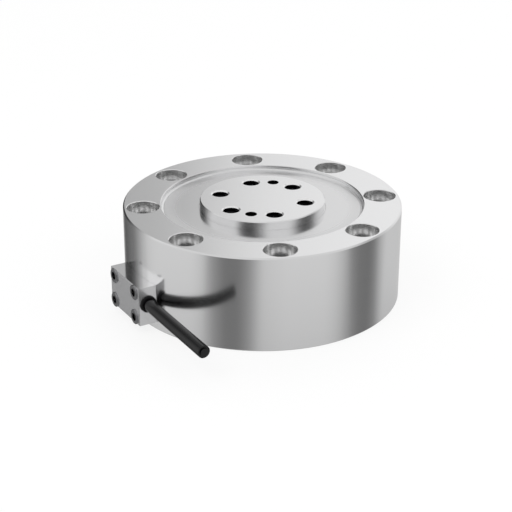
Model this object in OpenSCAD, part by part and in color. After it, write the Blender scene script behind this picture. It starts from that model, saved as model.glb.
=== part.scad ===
// Six-axis force torque sensor: a ring flange and a tool hub joined by a
// cross of strain-gauged beams, with sealed electronics under the cross and a
// screwed-on cable box on the side. Sizes are in millimetres. The origin is on
// the axis of the ring, in the plane of its base, and +Z points at the tool.

/* [Body ring] */
// Outer diameter of the ring
body_d = 120; // [104:1:150]
// Height of the ring, base to upper face
ring_h = 41.5; // [38:0.5:60]
// Width of the ledge that carries the seal plate
seal_ledge = 2.55; // [1:0.05:3]
// Chamfer on the two outer edges of the ring
edge_chamfer = 0.6; // [0.3:0.1:1.2]
// Chamfer on the edge of the recess and of the counterbores
fine_chamfer = 0.25; // [0.1:0.05:0.4]

/* [Ring mounting holes] */
// Number of counterbored holes in the ring
ring_bolts = 8; // [4, 8]
// Diameter of the through holes
bolt_hole_d = 9; // [6:0.1:10]
// Diameter of the counterbores
cbore_d = 13.8; // [12:0.1:16]
// Depth of the counterbores
cbore_depth = 9.4; // [5:0.1:16]
// Metal left between the counterbores and the outer wall
outer_rim = 1.6; // [1:0.1:4]
// Metal left between the counterbores and the recess
inner_rim = 0.85; // [0.5:0.05:3]

/* [Tool hub] */
// Height of the hub face above the ring face
hub_rise = 1.6; // [0.5:0.1:4]
// Chamfer on the edge of the hub face
hub_chamfer = 0.4; // [0.2:0.1:1]
// Number of tapped holes in the hub
hub_taps = 6; // [3, 6]
// Distance of the tapped and dowel holes from the hub's edge
hub_edge = 8.15; // [7.25:0.05:10]
// Drilled diameter of the tapped holes
tap_drill_d = 6.8; // [5:0.1:7.4]
// Drilled depth of the tapped holes
tap_depth = 11; // [6:0.5:12]
// Chamfer at the mouth of the tapped holes
tap_chamfer = 0.65; // [0.3:0.05:1]
// Diameter of the dowel holes
dowel_d = 5; // [4:0.1:6]
// Depth of the dowel holes
dowel_depth = 8; // [5:0.5:10]

/* [Recess and seal plate] */
// Width of the recess between the hub and the ring
recess_w = 16.75; // [12:0.25:20]
// Fillet in the outer corner of the recess
recess_fillet = 1.2; // [0.5:0.1:2]
// Fillet at the foot of the hub
foot_fillet = 0.3; // [0.2:0.1:1.5]
// Depth of the recess floor below the ring face
recess_depth = 2.2; // [2.2:0.1:4]
// Thickness of the seal plate that is the recess floor
seal_t = 1; // [0.6:0.1:1.6]

/* [Elastic cross] */
// Width of each beam
beam_w = 9; // [6:0.5:11]
// Height of each beam
beam_h = 13.5; // [10:0.5:15]
// Height of the underside of the beams above the base
beam_z = 12.5; // [12:0.25:14]
// Thickness of the flexible web at the end of each beam
web_t = 2; // [1.2:0.1:2.8]
// Room between the webs and the ring, which lets them bend
web_gap = 3; // [2:0.25:4]
// Fillet where a beam meets its web
beam_fillet = 1.5; // [0.5:0.1:2.5]
// Diameter of the hub core between the beams
core_d = 34; // [30:0.5:38]
// Diameter of the blind bore up the hub core
core_bore_d = 12; // [6:0.5:20]
// Depth of the blind bore up the hub core
core_bore_depth = 12; // [4:0.5:14]
// Step from the hub's outer wall in to its neck above the beams
neck_step = 1.25; // [0.5:0.25:3]
// Relief between the beams and the neck, so that the beams flex up to the core
neck_relief = 2; // [1:0.25:3]
// Thickness of the hub flange under the seal plate's level
hub_flange_t = 3; // [2:0.25:4.5]

/* [Bottom cover] */
// Metal left between the cover and the ring's through holes
cover_rim = 0.7; // [0.4:0.1:2]
// Thickness of the cover
cover_t = 2; // [1.8:0.1:2.6]
// How far the cover lies below flush with the base
cover_sink = 0.3; // [0.1:0.1:0.6]
// Number of cover screws
cover_screws = 8; // [4, 8]
// Distance of the cover screws from the cover's edge
cover_screw_edge = 2.2; // [2:0.1:2.5]
// Thread diameter of the cover screws
cover_screw_d = 2; // [1.6:0.1:2.2]
// Head diameter of the cover screws
cover_head_d = 3.8; // [3.4:0.1:4]
// Length of the cover screws, head included
cover_screw_len = 6; // [4:0.5:8]
// Cord diameter of the cover's sealing ring
seal_cord_d = 1; // [0.8:0.05:1.1]
// Land between the sealing ring's groove and the cavity
seal_land = 0.65; // [0.4:0.05:0.9]

/* [Cable box] */
// Width of the box along the ring
box_w = 26.6; // [24:0.2:32]
// Height of the box
box_h = 17; // [15.2:0.1:22]
// Height of the box's underside above the base
box_z = 3.8; // [2:0.1:6]
// How far the box stands out from the ring
box_reach = 6.6; // [5.8:0.1:9]
// Chamfer on the outer edges of the box
box_chamfer = 0.3; // [0.1:0.1:0.6]
// Distance of the box screws from the sides of the box
box_screw_side = 3.9; // [3:0.1:4.2]
// Distance of the box screws from the top and underside of the box
box_screw_edge = 2.9; // [2.6:0.1:3.4]
// Thread diameter of the box screws
box_screw_d = 3; // [2.5:0.1:3.2]
// Head diameter of the box screws
box_head_d = 5.5; // [5:0.1:6]
// Head height of the box screws
box_head_h = 1.65; // [1.3:0.05:2.4]
// Hexagon socket of the box screws, across flats
box_socket = 2; // [1.5:0.1:2.5]
// Length of the box screws under the head
box_screw_len = 12; // [10.5:0.5:16]
// Width of the wiring pocket in the back of the box
pocket_w = 12; // [8:0.5:13]
// Height of the wiring pocket
pocket_h = 7; // [6.4:0.1:8]
// Diameter of the wire duct through the ring
duct_d = 7; // [6:0.1:8]
// Wall of the bush that lines the duct
duct_bush_t = 0.8; // [0.5:0.1:1]

/* [Cable] */
// Outer diameter of the cable
cable_d = 5.3; // [4.6:0.1:5.9]
// Length of cable outside the box
cable_len = 48.5; // [36:0.5:80]
// Height of the cable's axis above the middle of the box
cable_rise = 0.9; // [0:0.1:1]
// Wall of the sleeve where the cable leaves the box
sleeve_wall = 0.95; // [0.6:0.05:1.1]
// Length of the sleeve
sleeve_len = 1.2; // [0.8:0.1:4]
// Diameter of the bundle of wires inside
bundle_d = 3; // [2:0.1:3.4]

/* [Electronics] */
// Room between the circuit board and the ring
board_gap = 3; // [1:0.25:5]
// Diameter of the hole in the circuit board
board_bore_d = 24; // [20:0.5:28]
// Thickness of the circuit board
board_t = 1.6; // [1:0.1:1.8]
// Height of the standoffs under the board
standoff_h = 3.5; // [3:0.1:4]
// Standoff hexagon, across flats
standoff_af = 5; // [4.5:0.1:6]
// Distance of the standoffs from the board's edge
standoff_edge = 4; // [3.5:0.1:5]
// Thread diameter of the board screws
board_screw_d = 2.5; // [2:0.1:2.7]

/* [Strain gauges] */
// Length of a gauge's backing film along the beam
gauge_len = 6.5; // [4:0.25:8]
// Width of a gauge's backing film
gauge_w = 4; // [2.5:0.25:5]
// Thickness of a gauge's backing film
gauge_t = 0.12; // [0.08:0.01:0.3]
// Distance from the webs to the middle of the gauges
gauge_back = 5.5; // [5:0.25:7]

/* [Fits] */
// Radial gap between turned pieces that slip together
fit_gap = 0.1; // [0.05:0.01:0.15]
// Radial gap between a screw and its hole
thread_gap = 0.05; // [0.02:0.01:0.1]
// Gap between the cable box and the round wall that it seats on
seat_gap = 0.04; // [0.02:0.01:0.1]
// Gap between the ring and the end of the cable's jacket
jacket_gap = 0.15; // [0.1:0.05:0.5]

/* [Hidden] */
$fn = 96;

STEEL = [0.80, 0.80, 0.81];
DARK_STEEL = [0.45, 0.45, 0.47];
BRASS = [0.80, 0.66, 0.36];
BOARD_GREEN = [0.08, 0.32, 0.20];
BLACK = [0.05, 0.05, 0.055];
FILM = [0.85, 0.55, 0.20];
IVORY = [0.90, 0.90, 0.86];

BEAM_ANGLES = [0, 90, 180, 270];
ring_phase = 22.5;      // first ring bolt, so that a gap between bolts faces the box
dowel_phase = 90;       // the dowel holes lie on the Y axis, between tapped holes
box_angle = -135;       // the box faces this way, midway between two ring bolts
cut = 1;                // how far a cutting solid runs past the face that it cuts
tip_angle = 59;         // half angle of a drill's point

// Radii of the ring, from the outer wall inwards
body_r = body_d / 2;
bolt_r = body_r - outer_rim - cbore_d / 2;
recess_r = bolt_r - cbore_d / 2 - inner_rim;
plate_bore_r = recess_r - recess_fillet; // ring around the seal plate
cavity_r = plate_bore_r - seal_ledge;
cover_bore_r = bolt_r - bolt_hole_d / 2 - cover_rim;
cover_r = cover_bore_r - fit_gap;
cover_screw_r = cover_r - cover_screw_edge;

// Radii of the hub and the cross
hub_r = recess_r - recess_w;
hub_pcd = 2 * (hub_r - hub_edge);
neck_r = hub_r - neck_step;
shoulder_r = hub_r + foot_fillet;       // hub under its fillet, flush with the seal plate
web_reach = cavity_r - web_gap;
web_x = web_reach - web_t;
gauge_r = web_x - gauge_back;

// Levels, from the base upwards
cover_top = cover_sink + cover_t;
cover_screw_bite = cover_screw_len - cover_t;
board_z = cover_top + standoff_h;
board_top = board_z + board_t;
beam_top = beam_z + beam_h;
neck_z = beam_top + neck_relief;
floor_z = ring_h - recess_depth;        // upper face of the seal plate
seal_seat_z = floor_z - seal_t;
flange_z = floor_z - hub_flange_t;
hub_top = ring_h + hub_rise;

groove_depth = seal_cord_d * 0.8;       // the cord is squeezed by a fifth
groove_w = seal_cord_d + 0.3;
seal_r = cavity_r + seal_land + groove_w / 2;
cover_edge_break = 0.3;
cover_socket_depth = 0.7;
screw_end_gap = 0.5;                    // room past a screw's tip in its blind hole

face_x = body_r + box_reach;            // outer face of the cable box
side_y = box_w / 2;
box_mid_z = box_z + box_h / 2;
box_back_x = body_r - 5;                // where the blank of the box starts, inside the ring
pocket_x = body_r - 2;                  // the pocket opens through the back of the box
jacket_y = pocket_w / 2 + 1;            // the jacket ends just short of the pocket
jacket_wall_x = sqrt(body_r * body_r - jacket_y * jacket_y);
cable_x = jacket_wall_x + jacket_gap + cable_d / 2;
sleeve_d = cable_d + 2 * sleeve_wall;
sleeve_lip = 0.4;
bush_inner_x = cavity_r - 1;
bush_outer_x = body_r - 0.5;

board_r = cavity_r - board_gap;
spigot_d = 3;
spigot_h = 1.2;
standoff_r = board_r - standoff_edge;
standoff_phase = 22.5;
standoff_bore_depth = 2.9;
board_head_h = 1.5;
board_head_d = 4.5;
board_head_socket = 1.5;
board_screw_bite = 2.6;                 // how far the board screws enter the standoffs

amplifier = [3.9, 4.9, 1.6];            // radial, tangential and upright sizes
amplifier_leads = 4;
amplifier_r = board_bore_d / 2 + 9;
AMPLIFIER_ANGLES = [120, 150, 210, 240, 300, 330];
controller = [7, 7, 1.4];
controller_leads = 8;
controller_r = board_r - 7;
controller_angle = 45;
lead_w = 0.4;
lead_t = 0.5;
lead_reach = 0.9;
capacitor = [1.6, 0.9, 0.8];
capacitor_r = board_bore_d / 2 + 4;
header = [5, 13, 3];
header_wall = 0.8;
header_r = board_r - 4;
plug_h = 7.2;                           // the plug stands taller than the header
plug = header - [1, 1, 0] * 2 * (header_wall + fit_gap) + [0, 0, plug_h - header.z - header_wall];

tab = 0.8;                              // side of a gauge's solder tabs
tab_h = 0.3;
tab_x = tab - gauge_len / 2;            // the tabs lie at the inner end of the film
lead_r = 0.5;

// Stations of the straight cable outside the box, as shares of its length
CABLE_STATIONS = [0, 0.25, 0.5, 0.75, 1];
// Route of the wire bundle from the cable's end to the plug, in the box's frame
BUNDLE_ROUTE = [
    [cable_x, jacket_y, cable_rise],
    [cable_x, jacket_y - 2, cable_rise],
    [cable_x - 0.4, jacket_y - 4, cable_rise * 0.8],
    [cable_x - 2, 1, cable_rise * 0.3],
    [body_r - 2.5, 0, 0],
    [bolt_r, 0, 0],
    [cavity_r, 0, 0],
    [header_r + plug.x / 2, 0, 0]
];

// ---------------------------------------------------------------- helpers

// Concave fillet of radius r in the inner corner of +X and +Y
module corner_fillet(r) {
    difference() {
        square(r);
        translate([r, r]) circle(r = r);
    }
}

// Repeats its children around the axis, n times, from an angle
module around(n, radius, phase = 0) {
    for (k = [0 : n - 1])
        rotate(phase + k * 360 / n) translate([radius, 0, 0]) children();
}

// Places children in the frame of the cable box: X out of the ring, Y along it
module at_box() {
    rotate(box_angle) translate([0, 0, box_mid_z]) children();
}

// Places children at the four screws of the cable box, Z pointing outwards
module at_box_screws() {
    for (y = [-1, 1], z = [-1, 1])
        translate([face_x, y * (side_y - box_screw_side), z * (box_h / 2 - box_screw_edge)])
            rotate([0, 90, 0]) children();
}

// Drilled hole that opens upwards at z = 0, with a pointed end
module drilled(d, depth) {
    translate([0, 0, -depth]) cylinder(d = d, h = depth + cut);
    translate([0, 0, -depth - d / 2 / tan(tip_angle)])
        cylinder(d1 = 0, d2 = d, h = d / 2 / tan(tip_angle));
}

// Cone that breaks the edge of a hole whose mouth is at z = 0, from d up to mouth_d
module mouth_chamfer(d, mouth_d) {
    depth = (mouth_d - d) / 2;
    translate([0, 0, -depth]) cylinder(d1 = d, d2 = mouth_d, h = depth);
    cylinder(d = mouth_d, h = cut);
}

function unit(v) = v / norm(v);

// Direction of a route at its point i
function heading(route, i) =
    unit(route[min(i + 1, len(route) - 1)] - route[max(i - 1, 0)]);

// Ring of points of radius r square to the route at its point i
function ring_points(route, i, r, sides, up) =
    let (t = heading(route, i), a = unit(cross(t, up)), b = cross(t, a))
    [for (s = [0 : sides - 1])
        route[i] + r * (cos(s * 360 / sides) * a + sin(s * 360 / sides) * b)];

// Round cord of radius r swept along a route. No stretch of it may run along up.
module swept_cord(route, r, sides = 12, up = [0, 0, 1]) {
    n = len(route);
    points = [for (i = [0 : n - 1]) each ring_points(route, i, r, sides, up)];
    walls = [for (i = [0 : n - 2], s = [0 : sides - 1])
        let (a = i * sides + s, b = i * sides + (s + 1) % sides)
        [b, a, a + sides, b + sides]];
    start = [[for (s = [0 : sides - 1]) s]];
    end = [[for (s = [sides - 1 : -1 : 0]) (n - 1) * sides + s]];
    polyhedron(points, concat(walls, start, end), convexity = 4);
}

// ------------------------------------------------------------ elastic body

// Turned blank of the ring, with seats for the seal plate and the cover
module ring_blank() {
    rotate_extrude(convexity = 6) {
        polygon([
            [cover_bore_r, 0],
            [body_r - edge_chamfer, 0],
            [body_r, edge_chamfer],
            [body_r, ring_h - edge_chamfer],
            [body_r - edge_chamfer, ring_h],
            [recess_r + fine_chamfer, ring_h],
            [recess_r, ring_h - fine_chamfer],
            [recess_r, floor_z],
            [plate_bore_r, floor_z],
            [plate_bore_r, seal_seat_z],
            [cavity_r, seal_seat_z],
            [cavity_r, cover_top],
            [cover_bore_r, cover_top]
        ]);
        translate([recess_r, floor_z]) mirror([1, 0]) corner_fillet(recess_fillet);
    }
}

// Turned blank of the hub, stepped in from the flange to the core
module hub_blank() {
    rotate_extrude(convexity = 6) {
        polygon([
            [0, hub_top],
            [0, beam_z + core_bore_depth],
            [core_bore_d / 2, beam_z + core_bore_depth],
            [core_bore_d / 2, beam_z],
            [core_d / 2, beam_z],
            [core_d / 2, neck_z],
            [neck_r, neck_z],
            [neck_r, flange_z],
            [shoulder_r, flange_z],
            [shoulder_r, floor_z],
            [hub_r, floor_z],
            [hub_r, hub_top - hub_chamfer],
            [hub_r - hub_chamfer, hub_top]
        ]);
        translate([hub_r, floor_z]) corner_fillet(foot_fillet);
    }
}

// Plan of one beam and the web that carries its end, along +X
module beam_plan() {
    root_x = core_d / 2 - cut;
    translate([root_x, -beam_w / 2]) square([web_x - root_x, beam_w]);
    intersection() {
        translate([web_x, -cavity_r]) square([web_t, 2 * cavity_r]);
        circle(r = cavity_r + cut);
    }
    for (side = [0, 1]) mirror([0, side])
        translate([web_x, beam_w / 2]) mirror([1, 0]) corner_fillet(beam_fillet);
}

module cross_beams() {
    translate([0, 0, beam_z]) linear_extrude(beam_h, convexity = 6)
        for (angle = BEAM_ANGLES) rotate(angle) beam_plan();
}

module ring_bolt_holes() {
    around(ring_bolts, bolt_r, ring_phase) {
        translate([0, 0, -cut]) cylinder(d = bolt_hole_d, h = ring_h + 2 * cut);
        translate([0, 0, ring_h - cbore_depth]) cylinder(d = cbore_d, h = cbore_depth + cut);
        translate([0, 0, ring_h]) mouth_chamfer(cbore_d, cbore_d + 2 * fine_chamfer);
    }
}

module hub_holes() {
    translate([0, 0, hub_top]) {
        around(hub_taps, hub_pcd / 2) {
            drilled(tap_drill_d, tap_depth);
            mouth_chamfer(tap_drill_d, tap_drill_d + 2 * tap_chamfer);
        }
        around(2, hub_pcd / 2, dowel_phase) drilled(dowel_d, dowel_depth);
    }
}

module cover_screw_holes() {
    translate([0, 0, cover_top])
        around(cover_screws, cover_screw_r) translate([0, 0, -cut])
            cylinder(d = cover_screw_d + 2 * thread_gap, h = cover_screw_bite + screw_end_gap + cut);
}

module sealing_groove() {
    rotate_extrude() translate([seal_r - groove_w / 2, cover_top - cut])
        square([groove_w, groove_depth + cut]);
}

module box_holes_in_ring() {
    at_box() {
        translate([cavity_r - 2 * cut, 0, 0]) rotate([0, 90, 0])
            cylinder(d = duct_d, h = body_r - cavity_r + 3 * cut);
        at_box_screws() translate([0, 0, -box_screw_len - screw_end_gap])
            cylinder(d = box_screw_d + 2 * thread_gap, h = box_screw_len);
    }
}

module sensor_body() {
    color(STEEL) difference() {
        union() {
            ring_blank();
            hub_blank();
            cross_beams();
        }
        ring_bolt_holes();
        hub_holes();
        cover_screw_holes();
        sealing_groove();
        box_holes_in_ring();
    }
}

// ------------------------------------------------------- covers and seals

module top_seal_plate() {
    color(STEEL) rotate_extrude()
        translate([shoulder_r + fit_gap, seal_seat_z])
            square([plate_bore_r - shoulder_r - 2 * fit_gap, seal_t]);
}

module standoff_seats() {
    around(4, standoff_r, standoff_phase)
        translate([0, 0, cover_top - spigot_h - fit_gap])
            cylinder(d = spigot_d + 2 * thread_gap, h = spigot_h + fit_gap + cut);
}

module bottom_cover() {
    color(STEEL) difference() {
        translate([0, 0, cover_sink]) rotate_extrude() polygon([
            [0, 0], [cover_r - cover_edge_break, 0], [cover_r, cover_edge_break],
            [cover_r, cover_t], [0, cover_t]
        ]);
        around(cover_screws, cover_screw_r) {
            translate([0, 0, cover_sink - cut])
                cylinder(d = cover_screw_d + 2 * fit_gap, h = cover_t + 2 * cut);
            translate([0, 0, cover_sink]) countersink(fit_gap);
        }
        standoff_seats();
    }
}

// Cone of a countersunk head whose face is at z = 0 and that narrows upwards
module countersink(gap) {
    cone_h = (cover_head_d - cover_screw_d) / 2;
    cylinder(d1 = cover_head_d + 2 * gap, d2 = cover_screw_d + 2 * gap, h = cone_h);
    if (gap > 0) translate([0, 0, -cut]) cylinder(d = cover_head_d + 2 * gap, h = cut);
}

module bottom_cover_screws() {
    socket = cover_screw_d * 0.6;
    color(DARK_STEEL) translate([0, 0, cover_sink])
        around(cover_screws, cover_screw_r) difference() {
            union() {
                countersink(0);
                cylinder(d = cover_screw_d, h = cover_screw_len);
            }
            translate([0, 0, -cut])
                cylinder(d = socket / cos(30), h = cut + cover_socket_depth, $fn = 6);
        }
}

// Round cord flattened between the groove's end and the cover
module bottom_sealing_ring() {
    color(BLACK) rotate_extrude() translate([seal_r, cover_top + groove_depth / 2])
        intersection() {
            circle(d = seal_cord_d, $fn = 32);
            square([seal_cord_d + cut, groove_depth], center = true);
        }
}

// --------------------------------------------------------------- cable box

// Plan outline of the box, with its outer corners broken
module box_plan() {
    polygon([
        [box_back_x, -side_y], [face_x - box_chamfer, -side_y], [face_x, -side_y + box_chamfer],
        [face_x, side_y - box_chamfer], [face_x - box_chamfer, side_y], [box_back_x, side_y]
    ]);
}

// Side outline of the box, with its outer corners broken
module box_profile() {
    polygon([
        [box_back_x, -box_h / 2], [face_x - box_chamfer, -box_h / 2],
        [face_x, -box_h / 2 + box_chamfer], [face_x, box_h / 2 - box_chamfer],
        [face_x - box_chamfer, box_h / 2], [box_back_x, box_h / 2]
    ]);
}

module cable_box() {
    color(STEEL) at_box() difference() {
        intersection() {
            translate([0, 0, -box_h]) linear_extrude(2 * box_h) box_plan();
            translate([0, box_w, 0]) rotate([90, 0, 0]) linear_extrude(2 * box_w) box_profile();
        }
        translate([0, 0, -box_h]) cylinder(r = body_r + seat_gap, h = 2 * box_h, $fn = 192);
        translate([pocket_x, -pocket_w / 2, -pocket_h / 2])
            cube([cable_x + cable_d / 2 - pocket_x, pocket_w, pocket_h]);
        translate([cable_x, 0, cable_rise]) rotate([-90, 0, 0])
            cylinder(d = cable_d + 2 * fit_gap, h = side_y + cut);
        at_box_screws() translate([0, 0, -box_screw_len])
            cylinder(d = box_screw_d + 2 * fit_gap, h = box_screw_len + cut);
    }
}

// Domed head with a hexagon socket, standing on z = 0
module button_head() {
    edge = box_head_h * 0.35;
    dome_r = ((box_head_d / 2) * (box_head_d / 2) + pow(box_head_h - edge, 2))
        / (2 * (box_head_h - edge)) * 1.25;
    difference() {
        intersection() {
            cylinder(d = box_head_d, h = box_head_h);
            translate([0, 0, box_head_h - dome_r]) sphere(r = dome_r);
        }
        translate([0, 0, box_head_h * 0.35])
            cylinder(d = box_socket / cos(30), h = box_head_h, $fn = 6);
    }
}

module cable_box_screws() {
    color(DARK_STEEL) at_box() at_box_screws() {
        button_head();
        translate([0, 0, -box_screw_len]) cylinder(d = box_screw_d, h = box_screw_len);
    }
}

module duct_bush() {
    bush_d = duct_d - 2 * fit_gap;
    bush_len = bush_outer_x - bush_inner_x;
    color(BLACK) at_box() translate([bush_inner_x, 0, 0]) rotate([0, 90, 0]) difference() {
        cylinder(d = bush_d, h = bush_len);
        translate([0, 0, -cut]) cylinder(d = bush_d - 2 * duct_bush_t, h = bush_len + 2 * cut);
    }
}

// ------------------------------------------------------------------- cable

module cable_sleeve() {
    color(BLACK) at_box() translate([cable_x, side_y, cable_rise]) rotate([-90, 0, 0]) difference() {
        union() {
            cylinder(d = sleeve_d, h = sleeve_len - sleeve_lip);
            translate([0, 0, sleeve_len - sleeve_lip])
                cylinder(d1 = sleeve_d, d2 = sleeve_d - sleeve_lip, h = sleeve_lip);
        }
        translate([0, 0, -cut]) cylinder(d = cable_d + 2 * thread_gap, h = sleeve_len + 2 * cut);
    }
}

// Free end of the cable, cut square, straight out of the box
module cable() {
    route = [for (s = CABLE_STATIONS) [cable_x, side_y + s * cable_len, cable_rise]];
    color(BLACK) at_box() swept_cord(route, cable_d / 2);
}

// Stretch of the same cable that the box holds, from its side face to the pocket
module cable_tail() {
    color(BLACK) at_box() translate([cable_x, jacket_y, cable_rise]) rotate([-90, 0, 0])
        cylinder(d = cable_d, h = side_y - jacket_y);
}

module core_bundle() {
    color(FILM) at_box() swept_cord(BUNDLE_ROUTE, bundle_d / 2, 10);
}

// ------------------------------------------------------------- electronics

module circuit_board() {
    color(BOARD_GREEN) translate([0, 0, board_z]) difference() {
        cylinder(r = board_r, h = board_t);
        translate([0, 0, -cut]) cylinder(d = board_bore_d, h = board_t + 2 * cut);
        around(4, standoff_r, standoff_phase) translate([0, 0, -cut])
            cylinder(d = board_screw_d + 2 * fit_gap, h = board_t + 2 * cut);
    }
}

module board_standoffs() {
    color(BRASS) around(4, standoff_r, standoff_phase) difference() {
        union() {
            translate([0, 0, cover_top]) cylinder(d = standoff_af / cos(30), h = standoff_h, $fn = 6);
            translate([0, 0, cover_top - spigot_h]) cylinder(d = spigot_d, h = spigot_h + cut);
        }
        translate([0, 0, board_z - standoff_bore_depth])
            cylinder(d = board_screw_d + 2 * thread_gap, h = standoff_bore_depth + cut);
    }
}

module board_screws() {
    shank = board_t + board_screw_bite;
    socket_z = board_head_h * 0.4;
    color(DARK_STEEL) around(4, standoff_r, standoff_phase) translate([0, 0, board_top]) {
        difference() {
            cylinder(d = board_head_d, h = board_head_h);
            translate([0, 0, socket_z])
                cylinder(d = board_head_socket / cos(30), h = board_head_h, $fn = 6);
        }
        translate([0, 0, -shank]) cylinder(d = board_screw_d, h = shank + socket_z / 2);
    }
}

// Chip with a row of leads along both long sides, standing on z = 0
module leaded_chip(size, leads) {
    pitch = size.y / leads;
    translate([-size.x / 2, -size.y / 2, 0]) cube(size);
    for (k = [0 : leads - 1])
        translate([-size.x / 2 - lead_reach, -size.y / 2 + (k + 0.5) * pitch - lead_w / 2, 0])
            cube([size.x + 2 * lead_reach, lead_w, lead_t]);
}

module amplifier_chips() {
    color(BLACK) for (angle = AMPLIFIER_ANGLES)
        rotate(angle) translate([amplifier_r, 0, board_top]) leaded_chip(amplifier, amplifier_leads);
}

module controller_chip() {
    color(BLACK) rotate(controller_angle) translate([controller_r, 0, board_top]) {
        leaded_chip(controller, controller_leads);
        rotate(90) leaded_chip(controller, controller_leads);
    }
}

module chip_capacitors() {
    color(FILM) around(24, capacitor_r, 7.5)
        translate([-capacitor.x / 2, -capacitor.y / 2, board_top]) cube(capacitor);
}

// Places children on the board, under the wire duct
module at_header() {
    rotate(box_angle) translate([header_r, 0, board_top]) children();
}

// Open header, soldered to the board
module cable_header() {
    color(IVORY) at_header() difference() {
        translate([-header.x / 2, -header.y / 2, 0]) cube(header);
        translate([-header.x / 2 + header_wall, -header.y / 2 + header_wall, header_wall])
            cube([header.x - 2 * header_wall, header.y - 2 * header_wall, header.z]);
    }
}

// Plug in the header, which the wire bundle enters from the duct
module cable_plug() {
    color(IVORY) at_header() translate([-plug.x / 2, -plug.y / 2, header_wall]) cube(plug);
}

// ----------------------------------------------------------- strain gauges

// Film with its two solder tabs, lying on z = 0 and reaching along +X
module gauge() {
    translate([-gauge_len / 2, -gauge_w / 2, 0]) cube([gauge_len, gauge_w, gauge_t]);
    for (y = [-1, 1])
        translate([tab_x - tab / 2, y * gauge_w / 4 - tab / 2, 0])
            cube([tab, tab, gauge_t + tab_h]);
}

// The four gauges of one beam: above, below and on both sides
module beam_gauges(angle) {
    color(FILM) rotate(angle) translate([gauge_r, 0, 0]) {
        translate([0, 0, beam_top]) gauge();
        translate([0, 0, beam_z]) mirror([0, 0, 1]) gauge();
        for (side = [0, 1]) mirror([0, side, 0])
            translate([0, beam_w / 2, beam_z + beam_h / 2]) rotate([-90, 0, 0]) gauge();
    }
}

// The leads of one beam, from the tabs of a side gauge down to the board
module beam_leads(angle) {
    x = gauge_r + tab_x;
    y = beam_w / 2 + gauge_t + tab_h + lead_r;
    mid_z = beam_z + beam_h / 2;
    route = [
        [x, y, mid_z + gauge_w / 4 + tab / 2], [x, y, mid_z],
        [x, y, beam_z], [x, y + 0.4, beam_z - 2], [x, y + 0.4, board_top]
    ];
    color(FILM) rotate(angle) swept_cord(route, lead_r, 8, [1, 0, 0]);
}

// ------------------------------------------------------------------- nodes

sensor_body();
top_seal_plate();
bottom_cover();
bottom_cover_screws();
bottom_sealing_ring();
cable_box();
cable_box_screws();
cable_sleeve();
cable();
cable_tail();
core_bundle();
duct_bush();
circuit_board();
board_standoffs();
board_screws();
amplifier_chips();
controller_chip();
chip_capacitors();
cable_header();
cable_plug();
beam_gauges(BEAM_ANGLES[0]);  // gauges_beam_1
beam_gauges(BEAM_ANGLES[1]);  // gauges_beam_2
beam_gauges(BEAM_ANGLES[2]);  // gauges_beam_3
beam_gauges(BEAM_ANGLES[3]);  // gauges_beam_4
beam_leads(BEAM_ANGLES[0]);  // gauge_leads_1
beam_leads(BEAM_ANGLES[1]);  // gauge_leads_2
beam_leads(BEAM_ANGLES[2]);  // gauge_leads_3
beam_leads(BEAM_ANGLES[3]);  // gauge_leads_4
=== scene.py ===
import logging
import math
from dataclasses import dataclass
from enum import Enum
from typing import Any, Sequence

import bmesh
import bpy
from mathutils import Matrix, Vector


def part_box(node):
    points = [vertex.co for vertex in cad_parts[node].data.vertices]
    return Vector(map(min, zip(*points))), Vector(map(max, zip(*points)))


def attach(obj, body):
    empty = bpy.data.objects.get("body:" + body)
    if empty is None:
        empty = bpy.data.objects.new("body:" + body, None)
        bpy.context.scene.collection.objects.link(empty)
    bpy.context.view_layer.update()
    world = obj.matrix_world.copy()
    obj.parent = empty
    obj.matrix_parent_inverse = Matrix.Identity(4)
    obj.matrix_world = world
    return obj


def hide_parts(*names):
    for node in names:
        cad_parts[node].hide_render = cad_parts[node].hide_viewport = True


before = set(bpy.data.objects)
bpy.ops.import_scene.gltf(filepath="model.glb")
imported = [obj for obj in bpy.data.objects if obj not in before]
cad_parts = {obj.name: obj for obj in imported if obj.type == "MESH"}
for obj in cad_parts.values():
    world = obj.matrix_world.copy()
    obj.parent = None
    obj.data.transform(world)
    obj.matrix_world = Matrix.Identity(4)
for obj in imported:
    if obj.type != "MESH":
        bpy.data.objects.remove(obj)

log = logging.getLogger("sensor")
Colour = tuple[float, float, float]
Point = tuple[float, float, float]
Pair = tuple[float, float]

WHITE = (1.0, 1.0, 1.0)
# Painted shade: near-black colour painted inside deep holes in steel
HOLE_SHADE = (0.006, 0.006, 0.007)
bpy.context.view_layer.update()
# Way that the cable box's own X axis points, in degrees
BOX_TURN = -135.0
# Points closer than this are one point
WELD = 1e-6
# Slack where a place is compared with a size
SLACK = 1e-5
# Edges sharper than this stay sharp on CAD shapes, in degrees
SHARP_ANGLE = 32.0
# How much a weighted normal leans to the largest face, in percent
FACE_WEIGHT = 80
# Share of its finer layers in every noise
NOISE_ROUGHNESS = 0.55
# Sockets of the Mix node that hold colours
MIX_FACTOR, MIX_FIRST, MIX_SECOND, MIX_RESULT = 0, 6, 7, 2


# ------------------------------------------------------------ shader helpers

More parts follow.
